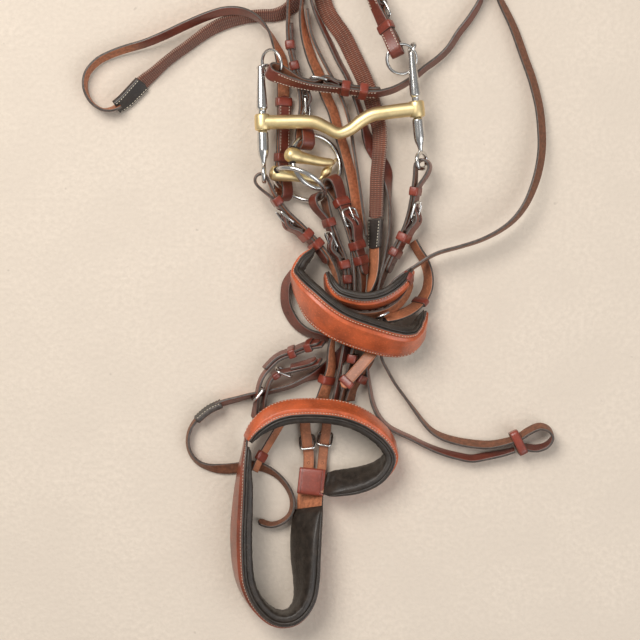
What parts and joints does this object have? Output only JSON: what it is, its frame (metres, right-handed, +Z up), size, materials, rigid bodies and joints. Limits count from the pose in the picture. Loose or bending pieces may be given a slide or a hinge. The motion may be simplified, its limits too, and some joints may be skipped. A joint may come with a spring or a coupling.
{
  "type": "double bridle",
  "caption": "Double bridle put away as a bundle: padded crown, browband and noseband, cheekpieces, reins, curb bit with sliding mouthpiece and loose-ring bradoon.",
  "frame": {"origin": "point of the floor under the middle of the bundle's box", "axes": "+Y from the crown to the bits along the bundle's length, +Z up from the floor that it lies on"},
  "size_m": [0.4319, 0.6058, 0.0593],
  "materials": {
    "chestnut_grain": "glossy chestnut grain with painted edges",
    "orange_flesh": "unfinished orange flesh side",
    "tan_panel": "smooth bright tan",
    "brown_lining": "soft dark brown padding leather",
    "rein_webbing": "ribbed web with dotted lines",
    "dark_sleeve": "dark matt sleeve with pale stitching",
    "polished_steel": "polished",
    "satin_brass": "satin"
  },
  "bodies": {
    "bridle": {"bradoon_arm_left": "satin_brass", "bradoon_arm_right": "satin_brass", "bradoon_cheekpiece_left": "chestnut_grain", "bradoon_cheekpiece_left_frame": "polished_steel", "bradoon_cheekpiece_right": "chestnut_grain", "bradoon_cheekpiece_right_frame": "polished_steel", "bradoon_rein_left": "chestnut_grain", "bradoon_rein_right": "chestnut_grain", "bradoon_rein_right_frame": "polished_steel", "browband_leather": "tan_panel", "browband_lining": "brown_lining", "chin_pad_leather": "tan_panel", "chin_pad_lining": "brown_lining", "crown_branch": "orange_flesh", "crown_buckle_left": "polished_steel", "crown_buckle_right": "polished_steel", "crown_leather": "chestnut_grain", "crown_lining": "brown_lining", "curb_cheekpiece_left": "chestnut_grain", "curb_cheekpiece_left_frame": "polished_steel", "curb_cheekpiece_right": "chestnut_grain", "curb_cheekpiece_right_frame": "polished_steel", "curb_rein_left": "chestnut_grain", "curb_rein_left_frame": "polished_steel", "curb_rein_right": "chestnut_grain", "curb_rein_right_frame": "polished_steel", "noseband_headstrap": "chestnut_grain", "noseband_leather": "tan_panel", "noseband_lining": "brown_lining", "noseband_strap_left": "chestnut_grain", "noseband_strap_right": "orange_flesh", "noseband_tail": "orange_flesh", "rein_end_keeper": "chestnut_grain", "rein_grip": "rein_webbing", "rein_hand_part": "orange_flesh", "rein_sleeve_bit_end": "dark_sleeve", "rein_sleeve_hand_end": "dark_sleeve", "rein_sleeve_right": "dark_sleeve", "rein_tail_right": "chestnut_grain", "throat_buckle_inner": "polished_steel", "throat_buckle_outer": "polished_steel", "throat_strap_inner": "chestnut_grain", "throat_strap_outer": "chestnut_grain", "weymouth_cheek_left": "polished_steel", "weymouth_cheek_right": "polished_steel"},
    "bradoon_cheekpiece_left_tongue": {"bradoon_cheekpiece_left_tongue": "polished_steel"},
    "bradoon_cheekpiece_right_tongue": {"bradoon_cheekpiece_right_tongue": "polished_steel"},
    "bradoon_rein_right_tongue": {"bradoon_rein_right_tongue": "polished_steel"},
    "curb_cheekpiece_left_tongue": {"curb_cheekpiece_left_tongue": "polished_steel"},
    "curb_cheekpiece_right_tongue": {"curb_cheekpiece_right_tongue": "polished_steel"},
    "curb_rein_left_tongue": {"curb_rein_left_tongue": "polished_steel"},
    "curb_rein_right_tongue": {"curb_rein_right_tongue": "polished_steel"},
    "curb_cheek_runner": {"curb_cheek_runner": "chestnut_grain"},
    "curb_rein_runner": {"curb_rein_runner": "chestnut_grain"},
    "curb_ring_left": {"curb_ring_left": "polished_steel"},
    "curb_ring_right": {"curb_ring_right": "polished_steel"},
    "bradoon_ring_left": {"bradoon_ring_left": "polished_steel"},
    "bradoon_ring_right": {"bradoon_ring_right": "polished_steel"},
    "bradoon_link": {"bradoon_link": "satin_brass"},
    "weymouth_mouthpiece": {"weymouth_mouthpiece": "satin_brass"}
  },
  "joints": [
    {"name": "bradoon_cheekpiece_left_tongue_hinge", "type": "hinge", "parent": "bridle", "child": "bradoon_cheekpiece_left_tongue", "pos_m": [0.01649, 0.04155, 0.01601], "axis": [0.288, 0.0575, 0.9559], "range_deg": [0, 8]},
    {"name": "bradoon_cheekpiece_right_tongue_hinge", "type": "hinge", "parent": "bridle", "child": "bradoon_cheekpiece_right_tongue", "pos_m": [0.03316, 0.06191, 0.02161], "axis": [0.709, 0.1833, -0.6809], "range_deg": [0, 8]},
    {"name": "bradoon_rein_right_tongue_hinge", "type": "hinge", "parent": "bridle", "child": "bradoon_rein_right_tongue", "pos_m": [-0.01066, 0.17902, 0.01057], "axis": [-0.0338, -0.0256, 0.9991], "range_deg": [0, 8]},
    {"name": "curb_cheekpiece_left_tongue_hinge", "type": "hinge", "parent": "bridle", "child": "curb_cheekpiece_left_tongue", "pos_m": [-0.02399, 0.06356, 0.02089], "axis": [0.393, 0.0753, 0.9165], "range_deg": [0, 8]},
    {"name": "curb_cheekpiece_right_tongue_hinge", "type": "hinge", "parent": "bridle", "child": "curb_cheekpiece_right_tongue", "pos_m": [0.08836, 0.06745, 0.01964], "axis": [0.4176, -0.0539, -0.907], "range_deg": [0, 8]},
    {"name": "curb_rein_left_tongue_hinge", "type": "hinge", "parent": "bridle", "child": "curb_rein_left_tongue", "pos_m": [0.00828, 0.19044, 0.02494], "axis": [-0.0795, -0.3785, -0.9222], "range_deg": [0, 8]},
    {"name": "curb_rein_right_tongue_hinge", "type": "hinge", "parent": "bridle", "child": "curb_rein_right_tongue", "pos_m": [0.05645, 0.26262, 0.01925], "axis": [0.5072, 0.428, 0.7481], "range_deg": [0, 8]},
    {"name": "curb_cheek_runner_slide", "type": "slide", "parent": "bridle", "child": "curb_cheek_runner", "axis": [-0.6481, 0.7578, 0.0756], "range_m": [-0.003, 0.003]},
    {"name": "curb_rein_runner_slide", "type": "slide", "parent": "bridle", "child": "curb_rein_runner", "axis": [-0.9861, 0.1282, 0.106], "range_m": [-0.003, 0.003]},
    {"name": "curb_ring_left_turn", "type": "hinge", "parent": "bridle", "child": "curb_ring_left", "pos_m": [-0.041, 0.2087, 0.0284], "axis": [0.678, 0.1977, -0.708], "continuous": true},
    {"name": "curb_ring_right_turn", "type": "hinge", "parent": "bridle", "child": "curb_ring_right", "pos_m": [0.077, 0.2127, 0.0264], "axis": [0.1185, -0.1539, 0.981], "continuous": true},
    {"name": "bradoon_ring_left_turn", "type": "hinge", "parent": "bridle", "child": "bradoon_ring_left", "pos_m": [-0.0007, 0.12, 0.0186], "axis": [-0.5184, -0.2621, -0.8139], "continuous": true},
    {"name": "bradoon_ring_right_turn", "type": "hinge", "parent": "bridle", "child": "bradoon_ring_right", "pos_m": [-0.016, 0.0987, 0.029], "axis": [0.3594, 0.8238, -0.4383], "continuous": true},
    {"name": "bradoon_link_roll", "type": "hinge", "parent": "bridle", "child": "bradoon_link", "pos_m": [0.0085, 0.1112, 0.0098], "axis": [0.6198, 0.7848, 0], "range_deg": [-8, 8]},
    {"name": "mouthpiece_slide", "type": "slide", "parent": "bridle", "child": "weymouth_mouthpiece", "axis": [-0.0648, 0.9976, 0.0249], "range_m": [0, 0.003]}
  ]
}
